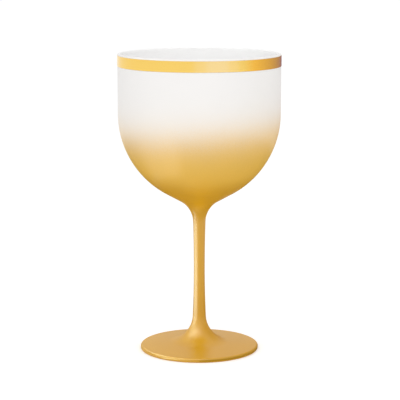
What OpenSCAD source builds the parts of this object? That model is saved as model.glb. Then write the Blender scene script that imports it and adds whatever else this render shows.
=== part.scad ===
// Stemmed gin goblet: a wide straight-walled bowl on a slim waisted stem and a round foot,
// with a foil band under the lip. Bowl, stem and foot are turned forms bonded on spigots.
// The goblet stands on Z = 0 and the stem's axis is the Z axis. Lengths in millimetres.

/* [Bowl] */
// Outer diameter of the straight wall
bowl_d = 105.3; // [98:0.1:114]
// Height of the straight wall, from the belly up to the lip
wall_h = 38.9; // [20:0.1:60]
// Thickness of the wall
wall_t = 1.8; // [1.2:0.1:2.6]
// Radius of the belly curve under the straight wall
belly_r = 59.5; // [55:0.5:66]
// Rise of the cone under the belly, in degrees from level
cone_angle = 29.2; // [26:0.1:34]
// Radius of the hollow curve from the cone into the neck
neck_curve_r = 16; // [9:0.5:20]
// Radius of the rounded floor inside the bowl
floor_r = 20; // [12:1:28]

/* [Rim band] */
// Height of the foil band
band_h = 6.9; // [3:0.1:15]
// Thickness of the foil
band_t = 0.15; // [0.1:0.01:0.4]
// Distance from the lip down to the band
band_drop = 1; // [0.9:0.1:8]
// Film of adhesive between the foil and the wall
band_film = 0.05; // [0.03:0.01:0.1]

/* [Stem] */
// Length of the stem between its two shoulders
stem_len = 63.2; // [45:0.1:90]
// Height of the waist above the lower shoulder
waist_up = 32.2; // [18:0.1:42]
// Diameter at the upper shoulder, under the bowl
neck_d = 8.2; // [7.4:0.1:10]
// Diameter at the waist
waist_d = 7.2; // [5.6:0.1:8]
// Diameter at the lower shoulder, on the foot
hub_d = 8.6; // [7.4:0.1:11]

/* [Joints] */
// Diameter of the spigot at each end of the stem
spigot_d = 4.4; // [3:0.1:5.2]
// Length of each spigot
spigot_len = 7; // [4:0.5:9]
// Chamfer round the tip of each spigot
spigot_chamfer = 0.4; // [0.2:0.1:0.8]
// Film of adhesive round each spigot
bond_film = 0.05; // [0.03:0.01:0.1]
// Room for adhesive past the tip of each spigot
bond_well = 0.3; // [0.1:0.1:1]

/* [Foot] */
// Outer diameter of the foot
foot_d = 77.4; // [66:0.1:90]
// Radius of the upper round of the foot's edge
edge_r = 1.2; // [0.6:0.1:3]
// Height of the plain side between the edge's two rounds
side_h = 0.85; // [0.05:0.05:2]
// Radius of the lower round of the foot's edge
heel_r = 0.8; // [0.3:0.1:1.5]
// Slope of the foot's top, in degrees from level
foot_slope = 6.1; // [3:0.1:9]
// Radius of the trumpet curve from the foot's top into the stem
trumpet_r = 18; // [10:0.5:22]
// Width of the flat ring that the foot stands on
ring_w = 3; // [1.5:0.1:6]
// Depth of the domed hollow under the foot
hollow_h = 2.2; // [1:0.1:3]

/* [Hidden] */

white_plastic = [0.96, 0.95, 0.94];
gold_lacquer = [0.83, 0.64, 0.28];
gold_foil = [0.95, 0.79, 0.42];

// Smoothness of the curves
arc_step = 3;
flank_steps = 16;
$fn = 96;

bowl_r = bowl_d / 2;
neck_r = neck_d / 2;
waist_r = waist_d / 2;
hub_r = hub_d / 2;
foot_r = foot_d / 2;
spigot_r = spigot_d / 2;
socket_r = spigot_r + bond_film;
socket_len = spigot_len + bond_well;

// The stem's flanks are hollow and meet the pieces above and below at these leans from upright.
upper_len = stem_len - waist_up;
neck_lean = atan(2 * (neck_r - waist_r) / upper_len);
hub_lean = atan(2 * (hub_r - waist_r) / waist_up);

// The foot rises from its edge along a slope into the trumpet, which ends at the hub.
edge_c = [foot_r - edge_r, heel_r + side_h];
heel_c = [foot_r - heel_r, heel_r];
ring_in_r = foot_r - heel_r - ring_w;
hollow_half = 2 * atan(hollow_h / ring_in_r);
hollow_r = ring_in_r / sin(hollow_half);
trumpet_c_r = hub_r + trumpet_r * cos(hub_lean);
slope_run = edge_c[0] + edge_r * sin(foot_slope) - trumpet_c_r + trumpet_r * sin(foot_slope);
trumpet_c_z = edge_c[1] + (edge_r + trumpet_r) * cos(foot_slope) + slope_run * tan(foot_slope);
trumpet_c = [trumpet_c_r, trumpet_c_z];
hub_z = trumpet_c_z - trumpet_r * sin(hub_lean);

// The stem stands on the hub, and the bowl's neck stands on the stem.
neck_z = hub_z + stem_len;
neck_curve_c = [neck_r + neck_curve_r * cos(neck_lean), neck_z - neck_curve_r * sin(neck_lean)];

// The cone touches both the neck curve and the belly curve.
cone_tip = 90 - cone_angle;
cone_run = bowl_r - belly_r + (belly_r + neck_curve_r) * sin(cone_angle) - neck_curve_c[0];
belly_z = neck_curve_c[1] + (neck_curve_r + belly_r) * cos(cone_angle) + cone_run * tan(cone_angle);
belly_c = [bowl_r - belly_r, belly_z];
lip_z = belly_z + wall_h;
lip_c = [bowl_r - wall_t / 2, lip_z - wall_t / 2];

// The rounded floor touches the cone's inner face.
inner_r = belly_r - wall_t;
inner_end = belly_c + inner_r * [sin(cone_angle), -cos(cone_angle)];
floor_touch_r = floor_r * sin(cone_angle);
floor_touch_z = inner_end[1] - (inner_end[0] - floor_touch_r) * tan(cone_angle);
floor_c = [0, floor_touch_z + floor_r * cos(cone_angle)];

band_r = bowl_r + band_film;
band_z = lip_z - band_drop - band_h;

// Points along an arc about a centre, both ends included.
function arc(centre, radius, from, to) =
    let (steps = ceil(abs(to - from) / arc_step))
    [for (i = [0:steps])
        let (angle = from + (to - from) * i / steps)
        centre + radius * [cos(angle), sin(angle)]];

// Points along the stem's flank from one height to another, measured from the waist.
function flank(from, to, end_r) =
    let (reach = max(abs(from), abs(to)))
    [for (i = [0:flank_steps])
        let (up = from + (to - from) * i / flank_steps)
        [waist_r + (end_r - waist_r) * pow(up / reach, 2), hub_z + waist_up + up]];

module bowl() {
    color(white_plastic)
    rotate_extrude()
    polygon(concat(
        [[0, neck_z + socket_len], [socket_r, neck_z + socket_len], [socket_r, neck_z]],
        arc(neck_curve_c, neck_curve_r, 180 - neck_lean, 90 + cone_angle),
        arc(belly_c, belly_r, -cone_tip, 0),
        arc(lip_c, wall_t / 2, 0, 180),
        arc(belly_c, inner_r, 0, -cone_tip),
        arc(floor_c, floor_r, -cone_tip, -90)
    ));
}

// Outline of one spigot from its tip to its shoulder; up is 1 for the upper one and -1 for the lower.
function spigot(shoulder_z, up) =
    let (tip_z = shoulder_z + up * spigot_len)
    [
        [0, tip_z],
        [spigot_r - spigot_chamfer, tip_z],
        [spigot_r, tip_z - up * spigot_chamfer],
        [spigot_r, shoulder_z]
    ];

function reversed(points) = [for (i = [len(points) - 1:-1:0]) points[i]];

module stem() {
    lower = flank(-waist_up, 0, hub_r);
    upper = flank(0, upper_len, neck_r);
    color(gold_lacquer)
    rotate_extrude()
    polygon(concat(
        spigot(hub_z, -1),
        lower,
        [for (i = [1:flank_steps]) upper[i]],
        reversed(spigot(neck_z, 1))
    ));
}

module foot() {
    color(gold_lacquer)
    rotate_extrude()
    polygon(concat(
        [[0, hub_z - socket_len], [socket_r, hub_z - socket_len], [socket_r, hub_z]],
        arc(trumpet_c, trumpet_r, 180 + hub_lean, 270 - foot_slope),
        arc(edge_c, edge_r, 90 - foot_slope, 0),
        arc(heel_c, heel_r, 0, -90),
        arc([0, hollow_h - hollow_r], hollow_r, 90 - hollow_half, 90)
    ));
}

module rim_band() {
    color(gold_foil)
    rotate_extrude()
    translate([band_r, band_z])
    square([band_t, band_h]);
}

bowl();
stem();
foot();
rim_band();
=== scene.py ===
# Gin goblet with its finishes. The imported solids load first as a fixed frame, and each piece is then turned
# again as a fine mesh on the same sizes. Lengths are in metres and angles in degrees, and the stem's axis is
# the Z axis.
import math

import bmesh
import bpy
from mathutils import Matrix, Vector


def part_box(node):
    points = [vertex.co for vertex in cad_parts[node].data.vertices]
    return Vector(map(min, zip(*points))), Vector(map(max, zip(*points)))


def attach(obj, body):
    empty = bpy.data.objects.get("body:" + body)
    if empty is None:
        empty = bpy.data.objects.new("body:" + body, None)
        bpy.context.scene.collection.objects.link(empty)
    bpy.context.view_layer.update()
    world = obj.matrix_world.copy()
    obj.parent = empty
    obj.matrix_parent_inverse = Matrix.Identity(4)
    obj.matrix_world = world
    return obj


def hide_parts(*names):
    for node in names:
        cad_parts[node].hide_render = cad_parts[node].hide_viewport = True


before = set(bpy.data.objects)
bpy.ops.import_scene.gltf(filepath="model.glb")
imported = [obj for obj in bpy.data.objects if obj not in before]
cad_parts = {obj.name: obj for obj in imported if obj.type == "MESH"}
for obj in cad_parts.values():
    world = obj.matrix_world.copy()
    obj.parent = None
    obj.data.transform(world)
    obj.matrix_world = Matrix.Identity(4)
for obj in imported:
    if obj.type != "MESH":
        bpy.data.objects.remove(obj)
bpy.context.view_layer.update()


# The foot: one plastic moulding with its trumpet, sprayed all over with a satin metallic gold lacquer.
# It stands on a flat ring round a shallow dome. A blind socket in its hub takes the stem's lower spigot.
MM = 0.001
foot_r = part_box("foot")[1].x
hub_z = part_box("foot")[1].z
hub_r = 4.3 * MM
edge_r = 1.2 * MM
heel_r = 0.8 * MM
side_h = 0.85 * MM
foot_slope = 6.1
trumpet_r = 18 * MM
ring_w = 3 * MM
hollow_h = 2.2 * MM
socket_r = 2.25 * MM
socket_len = 7.3 * MM
# The trumpet ends at the lean from upright at which the stem's flank starts.
waist_r = 3.6 * MM
waist_up = 32.2 * MM
hub_lean = math.degrees(math.atan(2 * (hub_r - waist_r) / waist_up))

ARC_STEP = 2
TURN_STEPS = 192
CREASE = math.radians(30)


def polar(radius, degrees):
    """The point at that radius and angle in the plane of radius and height."""
    return Vector((radius * math.cos(math.radians(degrees)), radius * math.sin(math.radians(degrees))))


def arc(centre, radius, start, end):
    """Points along an arc from one angle to another, both ends included."""
    steps = math.ceil(abs(end - start) / ARC_STEP)
    return [Vector(centre) + polar(radius, start + (end - start) * i / steps) for i in range(steps + 1)]


def turned(name, *runs, closed=False):
    """A mesh turned about the Z axis from runs of (radius, height) points, each run with its finish."""
    shape = bmesh.new()
    mesh = bpy.data.meshes.new(name)
    rings = []
    for finish_index, (outline, finish) in enumerate(runs):
        mesh.materials.append(finish)
        for radius, height in outline:
            turns = TURN_STEPS if radius > 0 else 1
            angles = [2 * math.pi * i / turns for i in range(turns)]
            ring = [shape.verts.new((radius * math.cos(a), radius * math.sin(a), height)) for a in angles]
            rings.append((ring, finish_index))
    next_rings = rings[1:] + (rings[:1] if closed else [])
    for (ring, finish_index), (following, _) in zip(rings, next_rings):
        for i in range(TURN_STEPS):
            corners = [ring[i % len(ring)], ring[(i + 1) % len(ring)]]
            corners += [following[(i + 1) % len(following)], following[i % len(following)]]
            # On the axis a ring is a single point, and its faces are triangles.
            face = shape.faces.new(dict.fromkeys(corners))
            face.smooth = True
            face.material_index = finish_index
    bmesh.ops.recalc_face_normals(shape, faces=shape.faces)
    for edge in shape.edges:
        edge.smooth = edge.calc_face_angle(0) < CREASE
    shape.to_mesh(mesh)
    shape.free()
    piece = bpy.data.objects.new(name, mesh)
    bpy.context.scene.collection.objects.link(piece)
    return piece


class Wire:
    """A node's output socket. Arithmetic on it adds Math nodes."""

    def __init__(self, nodes, socket):
        self.nodes = nodes
        self.socket = socket

    def __add__(self, other):
        return self.nodes.math("ADD", self, other)

    def __sub__(self, other):
        return self.nodes.math("SUBTRACT", self, other)

    def __mul__(self, other):
        return self.nodes.math("MULTIPLY", self, other)

    def __truediv__(self, other):
        return self.nodes.math("DIVIDE", self, other)

    def __radd__(self, other):
        return self.nodes.math("ADD", other, self)

    def __rsub__(self, other):
        return self.nodes.math("SUBTRACT", other, self)

    def __rmul__(self, other):
        return self.nodes.math("MULTIPLY", other, self)

    def __rtruediv__(self, other):
        return self.nodes.math("DIVIDE", other, self)

    def __rpow__(self, other):
        return self.nodes.math("POWER", other, self)


class Nodes:
    """The node tree of a material or of the world, built up node by node. Colours are red, green and blue."""

    def __init__(self, owner):
        owner.use_nodes = True
        self.owner = owner
        self.tree = owner.node_tree
        self.tree.nodes.clear()

    def add(self, kind, settings=None, sockets=None, output=0):
        """Adds a node, sets it up, fills or links its sockets, and returns one of its outputs."""
        node = self.tree.nodes.new(kind)
        for name, value in (settings or {}).items():
            setattr(node, name, value)
        for name, value in (sockets or {}).items():
            socket = node.inputs[name]
            if isinstance(value, Wire):
                self.tree.links.new(value.socket, socket)
            else:
                socket.default_value = (*value, 1) if socket.type == "RGBA" else value
        return Wire(self, node.outputs[output]) if node.outputs else None

    def math(self, operation, first, second):
        return self.add("ShaderNodeMath", {"operation": operation}, {0: first, 1: second})

    def place(self):
        """The point on the surface, in the goblet's own frame."""
        return self.add("ShaderNodeTexCoord", output="Object")

    def along(self, axis):
        """One coordinate of the point on the surface."""
        return self.add("ShaderNodeSeparateXYZ", {}, {0: self.place()}, axis)

    def noise(self, size):
        """Soft noise from -0.5 to 0.5 with patches of about that size."""
        return self.add("ShaderNodeTexNoise", {}, {"Vector": self.place(), "Scale": 1 / size}) - 0.5

    def cells(self, size):
        """A random value from -0.5 to 0.5 for each of many cells of that size."""
        grains = self.add("ShaderNodeTexVoronoi", {}, {"Vector": self.place(), "Scale": 1 / size}, "Color")
        return self.add("ShaderNodeSeparateColor", {}, {0: grains}) - 0.5

    def mix(self, share, first, second):
        """A colour between two. Sockets 6 and 7 take the two colours, and output 2 gives the mixed one."""
        return self.add("ShaderNodeMix", {"data_type": "RGBA"}, {0: share, 6: first, 7: second}, 2)

    def scale(self, colour, factor):
        return self.add("ShaderNodeVectorMath", {"operation": "SCALE"}, {0: colour, "Scale": factor})

    def bump(self, height, rise):
        """A normal for a surface on which a height of 1 stands for that rise."""
        return self.add("ShaderNodeBump", {}, {"Height": height, "Distance": rise})

    def surface(self, shader):
        self.add("ShaderNodeOutputMaterial", {}, {"Surface": shader})
        return self.owner


GOLD = (0.645, 0.33, 0.003)
GOLD_METALLIC = 0.06
GOLD_ROUGHNESS = 0.6
TOPCOAT = 0.6
TOPCOAT_ROUGHNESS = 0.35
TOPCOAT_IOR = 2
# A tone is how far the colour varies over the surface, as a share of itself.
flake_size = 0.14 * MM
flake_tone = 0.08
flake_share = 0.25
peel_size = 2.6 * MM
cloud_size = 22 * MM
cloud_tone = 0.06
cloud_roughness = 0.08
lacquer_rise = 0.006 * MM


def lacquer(nodes, gold):
    """The sprayed gold: its colour, its roughness, and the height of its flakes and orange peel."""
    flake = nodes.cells(flake_size)
    cloud = nodes.noise(cloud_size)
    peel = nodes.noise(peel_size)
    colour = nodes.scale(gold, 1 + flake_tone * flake + cloud_tone * cloud)
    roughness = GOLD_ROUGHNESS + cloud_roughness * cloud
    height = flake_share * flake + (1 - flake_share) * peel
    return colour, roughness, height


def gold_lacquer():
    nodes = Nodes(bpy.data.materials.new("satin_gold_lacquer"))
    colour, roughness, height = lacquer(nodes, GOLD)
    return nodes.surface(nodes.add("ShaderNodeBsdfPrincipled", {}, {
        "Base Color": colour,
        "Metallic": GOLD_METALLIC,
        "Roughness": roughness,
        "Specular IOR Level": 0,
        "Coat Weight": TOPCOAT,
        "Coat Roughness": TOPCOAT_ROUGHNESS,
        "Coat IOR": TOPCOAT_IOR,
        "Normal": nodes.bump(height, lacquer_rise),
    }))


satin_gold = gold_lacquer()
ring_in_r = foot_r - heel_r - ring_w
hollow_half = 2 * math.degrees(math.atan(hollow_h / ring_in_r))
hollow_r = ring_in_r / math.sin(math.radians(hollow_half))
trumpet_top = 180 + hub_lean
trumpet_c = Vector((hub_r, hub_z)) - polar(trumpet_r, trumpet_top)
foot_outline = [(0, hub_z - socket_len), (socket_r, hub_z - socket_len), (socket_r, hub_z)]
foot_outline += arc(trumpet_c, trumpet_r, trumpet_top, 270 - foot_slope)
foot_outline += arc((foot_r - edge_r, heel_r + side_h), edge_r, 90 - foot_slope, 0)
foot_outline += arc((foot_r - heel_r, heel_r), heel_r, 0, -90)
foot_outline += arc((0, hollow_h - hollow_r), hollow_r, 90 - hollow_half, 90)[:-1]
foot_outline += [(0, hollow_h)]
foot = turned("lacquered_foot", (foot_outline, satin_gold))
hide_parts("foot")
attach(foot, "root")


# The stem: a slim moulded rod, hollow along its flanks down to a waist at mid height, in the same lacquer.
# A spigot at each end is bonded into the foot's hub and into the bowl's neck.
neck_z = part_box("bowl")[0].z
neck_r = 4.1 * MM
spigot_r = 2.2 * MM
spigot_len = 7 * MM
spigot_chamfer = 0.4 * MM
flank_steps = 20
waist_z = hub_z + waist_up


def flank(end_r, end_z):
    """Points from the waist to one shoulder along a hollow curve."""
    shares = [i / flank_steps for i in range(flank_steps + 1)]
    return [(waist_r + (end_r - waist_r) * s ** 2, waist_z + (end_z - waist_z) * s) for s in shares]


def spigot(shoulder_z, up):
    """Points from a shoulder to the chamfered tip of its spigot. Up is 1 at the neck and -1 at the hub."""
    tip_z = shoulder_z + up * spigot_len
    return [
        (spigot_r, shoulder_z),
        (spigot_r, tip_z - up * spigot_chamfer),
        (spigot_r - spigot_chamfer, tip_z),
        (0, tip_z),
    ]


stem_outline = spigot(hub_z, -1)[::-1] + flank(hub_r, hub_z)[::-1]
stem_outline += flank(neck_r, neck_z)[1:] + spigot(neck_z, 1)
stem = turned("lacquered_stem", (stem_outline, satin_gold))
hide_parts("stem")
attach(stem, "root")


# The bowl: a thin white plastic moulding with a straight wall, a round belly and a cone down to a solid neck,
# where a blind socket takes the stem's upper spigot. The same gold lacquer is sprayed up its outside and
# thins out into fine droplets at the belly, and the inside stays white.
bowl_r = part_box("bowl")[1].x
lip_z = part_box("bowl")[1].z
wall_h = 38.9 * MM
wall_t = 1.8 * MM
belly_r = 59.5 * MM
cone_angle = 29.2
neck_curve_r = 16 * MM
floor_r = 20 * MM
neck_lean = math.degrees(math.atan(2 * (neck_r - waist_r) / (neck_z - waist_z)))

WHITE = (0.875, 0.86, 0.845)
# The inside is the same white plastic as the outside, but its colour is painted lighter to make up for the
# shade that falls inside the bowl.
INNER_WHITE_PAINTED_LIGHTER = (0.975, 0.97, 0.965)
WHITE_ROUGHNESS = 0.5
WHITE_GLOSS = 0.2
WHITE_COAT = 0.12
white_tone = 0.02
white_cloud_roughness = 0.06
# The gold grows thin and paler above thin_z, and ends in mist about fade_z, a little higher on the right.
fade_z = 145.2 * MM
fade_spread = 6 * MM
fade_lean = 0.06
fade_drift = 3 * MM
drift_size = 45 * MM
droplet_size = 0.22 * MM
speckle = 0.6
THIN_GOLD = (0.855, 0.505, 0.058)
thin_z = 114 * MM
thin_spread = 3 * MM


def rising(height, middle, spread):
    """A soft step from 0 to 1 up the goblet, about a middle height."""
    return 1 / (1 + math.e ** ((middle - height) / spread))


# The inside's white plastic, painted lighter than the outside's white to make up for the shade in the bowl.
def white_plastic():
    nodes = Nodes(bpy.data.materials.new("white_plastic"))
    cloud = nodes.noise(cloud_size)
    return nodes.surface(nodes.add("ShaderNodeBsdfPrincipled", {}, {
        "Base Color": nodes.scale(INNER_WHITE_PAINTED_LIGHTER, 1 + white_tone * cloud),
        "Roughness": WHITE_ROUGHNESS + white_cloud_roughness * cloud,
        "Specular IOR Level": WHITE_GLOSS,
        "Normal": nodes.bump(nodes.noise(peel_size), lacquer_rise),
    }))


def white_fading_to_gold():
    nodes = Nodes(bpy.data.materials.new("white_fading_to_gold"))
    up = nodes.along("Z")
    thinning = nodes.mix(rising(up, thin_z, thin_spread), GOLD, THIN_GOLD)
    gold, gold_roughness, height = lacquer(nodes, thinning)
    edge = fade_z + fade_lean * nodes.along("X") + fade_drift * nodes.noise(drift_size)
    mist = 1 - rising(up, edge, fade_spread)
    cover = mist + speckle * nodes.cells(droplet_size) * mist * (1 - mist)
    white = nodes.scale(WHITE, 1 + white_tone * nodes.noise(cloud_size))
    return nodes.surface(nodes.add("ShaderNodeBsdfPrincipled", {}, {
        "Base Color": nodes.mix(cover, white, gold),
        "Metallic": GOLD_METALLIC * cover,
        "Roughness": WHITE_ROUGHNESS + cover * (gold_roughness - WHITE_ROUGHNESS),
        "Specular IOR Level": 0,
        "Coat Weight": WHITE_COAT + (TOPCOAT - WHITE_COAT) * cover,
        "Coat Roughness": TOPCOAT_ROUGHNESS,
        "Coat IOR": TOPCOAT_IOR,
        "Normal": nodes.bump(height, lacquer_rise),
    }))


belly_c = Vector((bowl_r - belly_r, lip_z - wall_h))
inner_r = belly_r - wall_t
cone_tip = 90 - cone_angle
inner_end = belly_c + polar(inner_r, -cone_tip)
floor_touch = polar(floor_r, -cone_tip)
floor_c_z = inner_end.y - (inner_end.x - floor_touch.x) * math.tan(math.radians(cone_angle)) - floor_touch.y
neck_curve_c = Vector((neck_r, neck_z)) - polar(neck_curve_r, 180 - neck_lean)
lip_c = (bowl_r - wall_t / 2, lip_z - wall_t / 2)
outside = [(0, neck_z + socket_len), (socket_r, neck_z + socket_len), (socket_r, neck_z)]
outside += arc(neck_curve_c, neck_curve_r, 180 - neck_lean, 90 + cone_angle)
outside += arc(belly_c, belly_r, -cone_tip, 0)
outside += arc(lip_c, wall_t / 2, 0, 90)
inside = arc(lip_c, wall_t / 2, 90, 180)[1:]
inside += arc(belly_c, inner_r, 0, -cone_tip)
inside += arc((0, floor_c_z), floor_r, -cone_tip, -90)[:-1]
inside += [(0, floor_c_z - floor_r)]
bowl = turned("sprayed_bowl", (outside, white_fading_to_gold()), (inside, white_plastic()))
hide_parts("bowl")
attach(bowl, "root")


# The rim band: a strip of bright gold foil, bonded round the wall just under the lip.
# It is thin enough to follow the wall, and its pressed surface is nearly a mirror.
band_low, band_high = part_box("rim_band")
band_r = band_high.x
band_t = 0.15 * MM
foil_edge_r = 0.05 * MM

FOIL = (0.92, 0.62, 0.15)
FOIL_ROUGHNESS = 0.17
ripple_size = 14 * MM
ripple_rise = 0.03 * MM
grain_size = 0.65 * MM
grain_tone = 0.04
grain_roughness = 0.06


def gold_foil():
    nodes = Nodes(bpy.data.materials.new("gold_foil"))
    grain = nodes.noise(grain_size)
    return nodes.surface(nodes.add("ShaderNodeBsdfPrincipled", {}, {
        "Base Color": nodes.scale(FOIL, 1 + grain_tone * grain),
        "Metallic": 1,
        "Roughness": FOIL_ROUGHNESS + grain_roughness * grain,
        "Normal": nodes.bump(nodes.noise(ripple_size), ripple_rise),
    }))


band_outline = arc((band_r - foil_edge_r, band_low.z + foil_edge_r), foil_edge_r, -90, 0)
band_outline += arc((band_r - foil_edge_r, band_high.z - foil_edge_r), foil_edge_r, 0, 90)
band_outline += [(band_r - band_t, band_high.z), (band_r - band_t, band_low.z)]
rim_band = turned("foil_band", (band_outline, gold_foil()), closed=True)
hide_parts("rim_band")
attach(rim_band, "root")


# The stage: a pale floor that the goblet stands on, in an evenly white room.
# Both show white to the camera and in reflections, and the floor keeps the shadow. The floor ends just under
# the foot's standing ring, which leaves the hollow underneath open to the light.
FLOOR_COLOUR = (0.94, 0.94, 0.94)
FLOOR_LIFT = 0.2
ROOM_LIGHT = 0.87
PURE_WHITE = (1, 1, 1)
floor_tuck = 0.1 * MM
floor_hole_r = foot_r - heel_r - floor_tuck
floor_reach = 6
sweep_steps = 48


def shown(nodes):
    """1 for a ray that shows the stage itself: straight, reflected or through glass."""
    kinds = ["Is Camera Ray", "Is Glossy Ray", "Is Transmission Ray"]
    straight, reflected, through = [nodes.add("ShaderNodeLightPath", output=kind) for kind in kinds]
    return nodes.math("MAXIMUM", straight, nodes.math("MAXIMUM", reflected, through))


def one_sided(nodes, shader):
    """A finish that shows from the front and lets everything through from the back."""
    backside = nodes.add("ShaderNodeNewGeometry", output="Backfacing")
    through = nodes.add("ShaderNodeBsdfTransparent")
    return nodes.surface(nodes.add("ShaderNodeMixShader", {}, {0: backside, 1: shader, 2: through}))


def floor_finish():
    nodes = Nodes(bpy.data.materials.new("pale_floor"))
    lit = nodes.add("ShaderNodeBsdfDiffuse", {}, {"Color": FLOOR_COLOUR})
    lift = nodes.add("ShaderNodeEmission", {}, {"Color": PURE_WHITE, "Strength": FLOOR_LIFT * shown(nodes)})
    return one_sided(nodes, nodes.add("ShaderNodeAddShader", {}, {0: lit, 1: lift}))


def around(turn, radius, height):
    """The point in a direction from the axis, which turns from the camera's side to the right."""
    angle = math.radians(turn)
    return Vector((radius * math.sin(angle), -radius * math.cos(angle), height))


def swept(name, turns, radii, heights, finish):
    """A panel swept round the axis between two directions, from its first radius and height to its last."""
    start, end = turns
    steps = [start + (end - start) * i / sweep_steps for i in range(sweep_steps + 1)]
    corners = [around(turn, *edge) for turn in steps for edge in zip(radii, heights)]
    mesh = bpy.data.meshes.new(name)
    mesh.from_pydata(corners, [], [(2 * i, 2 * i + 1, 2 * i + 3, 2 * i + 2) for i in range(sweep_steps)])
    mesh.materials.append(finish)
    panel = bpy.data.objects.new(name, mesh)
    bpy.context.scene.collection.objects.link(panel)
    return panel


swept("floor", turns=(-180, 180), radii=(floor_hole_r, floor_reach), heights=(0, 0), finish=floor_finish())

room = bpy.data.worlds.new("white_room")
bpy.context.scene.world = room
room_nodes = Nodes(room)
room_level = ROOM_LIGHT + (1 - ROOM_LIGHT) * shown(room_nodes)
room_white = room_nodes.add("ShaderNodeBackground", {}, {"Color": PURE_WHITE, "Strength": room_level})
room_nodes.add("ShaderNodeOutputWorld", {}, {"Surface": room_white})


# The main light: one wide soft box, high in front of the goblet.
# A small lamp round the stem and a card on the floor add what foot and floor throw up under the bowl.
# All three light the pieces and show in none of their reflections.
FILL_LEFT = (1.4, 1.4, 1.4)
FILL_RIGHT = (1, 1, 1)
fill_card_z = 0.8 * MM
middle_z = lip_z / 2
# A lamp that faces this height lies level.
sky_z = 5


def soft_box(name, *pieces, turn, radius, height, aim_z, size, level, tint=PURE_WHITE):
    """A lamp that faces a height on the axis and lights the pieces given, or everything if there are none."""
    place = around(turn, radius, height)
    lamp = bpy.data.lights.new(name, "AREA")
    lamp.shape = "RECTANGLE"
    lamp.size, lamp.size_y = size
    lamp.energy = level * math.pi * lamp.size * lamp.size_y
    lamp.color = tint
    box = bpy.data.objects.new(name, lamp)
    box.location = place
    box.rotation_euler = (Vector((0, 0, aim_z)) - place).to_track_quat("-Z", "Y").to_euler()
    box.visible_camera = False
    if pieces:
        box.light_linking.receiver_collection = bpy.data.collections.new(name)
        for piece in pieces:
            box.light_linking.receiver_collection.objects.link(piece)
    bpy.context.scene.collection.objects.link(box)
    return box


def fill(name, *pieces, **setting):
    """A soft box that shows in no reflection."""
    soft_box(name, *pieces, **setting).visible_glossy = False


def card(name, *colours, turns, radii, heights):
    """A one-sided glowing card round the goblet, in one colour or two, that shows only in gloss."""
    nodes = Nodes(bpy.data.materials.new(name))
    start, end = [math.radians(turn) for turn in turns]
    turn = nodes.math("ARCTAN2", nodes.along("X"), 0 - nodes.along("Y"))
    colour = nodes.mix((turn - start) / (end - start), colours[0], colours[-1])
    glowing = nodes.add("ShaderNodeEmission", {}, {"Color": colour})
    panel = swept(name, turns, radii, heights, one_sided(nodes, glowing))
    panel.visible_camera = False
    panel.visible_diffuse = False
    panel.visible_transmission = False
    panel.visible_shadow = False
    return panel


fill("top_soft_box", turn=-5, radius=0.743, height=0.767, aim_z=middle_z, size=(1.3, 0.6), level=0.95)
fill("foot_glow", bowl, turn=0, radius=0, height=0.03, aim_z=sky_z, size=(0.053, 0.053), level=1.2)
low_fill = card("low_fill_card", FILL_LEFT, FILL_RIGHT,
                turns=(-130, 130), radii=(0.05, 0.085), heights=(fill_card_z, fill_card_z))
low_fill.visible_diffuse = True
low_fill.visible_glossy = False


# The highlights: soft boxes that show only in gloss, each on one or two pieces.
# Those on the left are a little cool. They run down the belly, neck, stem and trumpet, over the foot's plate
# and along its edge. The foil's two are blue, because gold hardly mirrors the blue of a white lamp.
COOL = (0.74, 1, 1)
BLUE = (0, 0.1, 1)
left = -80
band_z = (band_low.z + band_high.z) / 2


def glow(name, *pieces, tint=COOL, **setting):
    """A soft box that shows only in gloss."""
    soft_box(name, *pieces, tint=tint, **setting).visible_diffuse = False


glow("left_glow", bowl, stem, turn=-76, radius=0.755, height=0.588, aim_z=middle_z, size=(1, 0.48), level=6)
glow("high_glow", foot, turn=-25, radius=0.545, height=0.936, aim_z=middle_z, size=(1, 0.5), level=1.8,
     tint=PURE_WHITE)
glow("low_glow", bowl, stem, turn=left, radius=0.18, height=0.03, aim_z=0.03, size=(0.26, 0.06), level=4.6)
glow("floor_glow", stem, foot, turn=left, radius=0.125, height=0.003, aim_z=sky_z, size=(0.2, 0.09), level=4)
glow("neck_glow", bowl, turn=-84.4, radius=0.1236, height=0.003, aim_z=sky_z, size=(0.07, 0.09), level=2.6)
glow("hub_glow", foot, turn=left, radius=0.0508, height=0.024, aim_z=0.024, size=(0.05, 0.02), level=4.4)
glow("plate_glow", foot, turn=-67.6, radius=0.092, height=0.1, aim_z=0.005, size=(0.15, 0.05), level=4.2)
glow("edge_glow", foot, turn=-33, radius=0.049, height=0.0012, aim_z=sky_z, size=(0.036, 0.02), level=5)
# The wide lamp stands behind the narrow one, so that the two add up where they overlap.
glow("band_glow", rim_band, turn=24, radius=0.56, height=0.117, aim_z=band_z, size=(0.3, 0.3), level=0.55,
     tint=BLUE)
glow("band_wide_glow", rim_band, turn=24, radius=0.6, height=0.118, aim_z=band_z, size=(0.7, 0.3), level=0.55,
     tint=BLUE)


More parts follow.
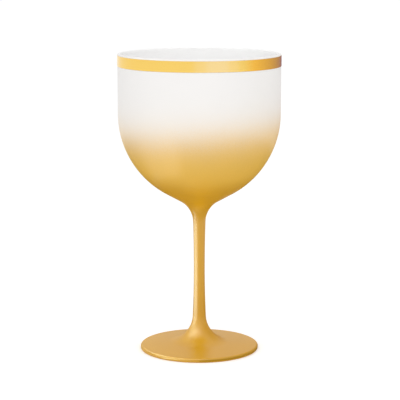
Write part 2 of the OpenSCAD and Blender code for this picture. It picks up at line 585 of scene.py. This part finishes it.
# The cards: panels that the camera doesn't see, and that the gold mirrors in place of the white room.
# Dark ones lie on the floor and under the bowl, and shaded and warm ones stand on the right. Two flags under
# the belly keep the low lamps off it and let light through from above.
DARK = (0.06, 0.05, 0.04)
SHADE = (0.3, 0.26, 0.24)
WARM = (1, 0.8, 0.44)
BROWN = (0.26, 0.13, 0.26)
PALE = (1.15, 1.15, 1.15)
dark_z = 0.5 * MM
raised_z = 85 * MM
side_r = 0.56
side_top = 0.2
upper_top = 0.6
card("dark_floor_card", DARK, turns=(-28, 262), radii=(0.042, 0.2), heights=(dark_z, dark_z))
card("left_dark_floor_card", DARK, turns=(-98, -28), radii=(0.042, 0.1), heights=(dark_z, dark_z))
card("raised_dark_card", DARK, turns=(-28, 272), radii=(0.05, 0.18), heights=(raised_z, raised_z))
card("right_soft_card", PURE_WHITE, WARM, turns=(62, 78), radii=(side_r, side_r), heights=(0, side_top))
card("right_wall_card", WARM, BROWN, turns=(78, 168), radii=(side_r, side_r), heights=(0, side_top))
card("right_upper_card", SHADE, turns=(50, 150), radii=(side_r, side_r), heights=(side_top, upper_top))

flag_z = 80 * MM
flag_turns = (-150, -30)
outer_flag = card("outer_flag", DARK, PALE, turns=flag_turns, radii=(0.05, 0.26), heights=(flag_z, flag_z))
inner_flag = card("inner_flag", DARK, turns=flag_turns, radii=(0.026, 0.05), heights=(flag_z, flag_z))
for flag in (outer_flag, inner_flag):
    flag.visible_shadow = True

# The last card is a dark sheet close to the foot, on the right and at the back, that puts shade on the foot's
# edge there: the edge mirrors it, and it takes away the light the floor there would throw up.
shade_r = foot_r + 0.5 * MM
shade_z = 0.4 * MM
foot_shade = card("foot_shade_card", DARK, turns=(0, 240), radii=(shade_r, 0.06), heights=(shade_z, shade_z))
foot_shade.visible_diffuse = True


# The camera: the photograph's own view, from a little above the lip and a metre away.
# It was fitted to the ellipses of the lip and of the foot, and its focal length is in pixels of the picture.
sensor_mm = 36
focal_px = 1568.5
frame_px = 400
camera_place = (0.00045, -1.0088, 0.2729)
camera_dip = 9.775

lens = bpy.data.cameras.new("camera")
lens.sensor_width = sensor_mm
lens.lens = focal_px / frame_px * sensor_mm
camera = bpy.data.objects.new("camera", lens)
camera.location = camera_place
camera.rotation_euler = (math.radians(90 - camera_dip), 0, 0)
bpy.context.scene.collection.objects.link(camera)
bpy.context.scene.camera = camera
bpy.context.scene.view_settings.view_transform = "Standard"
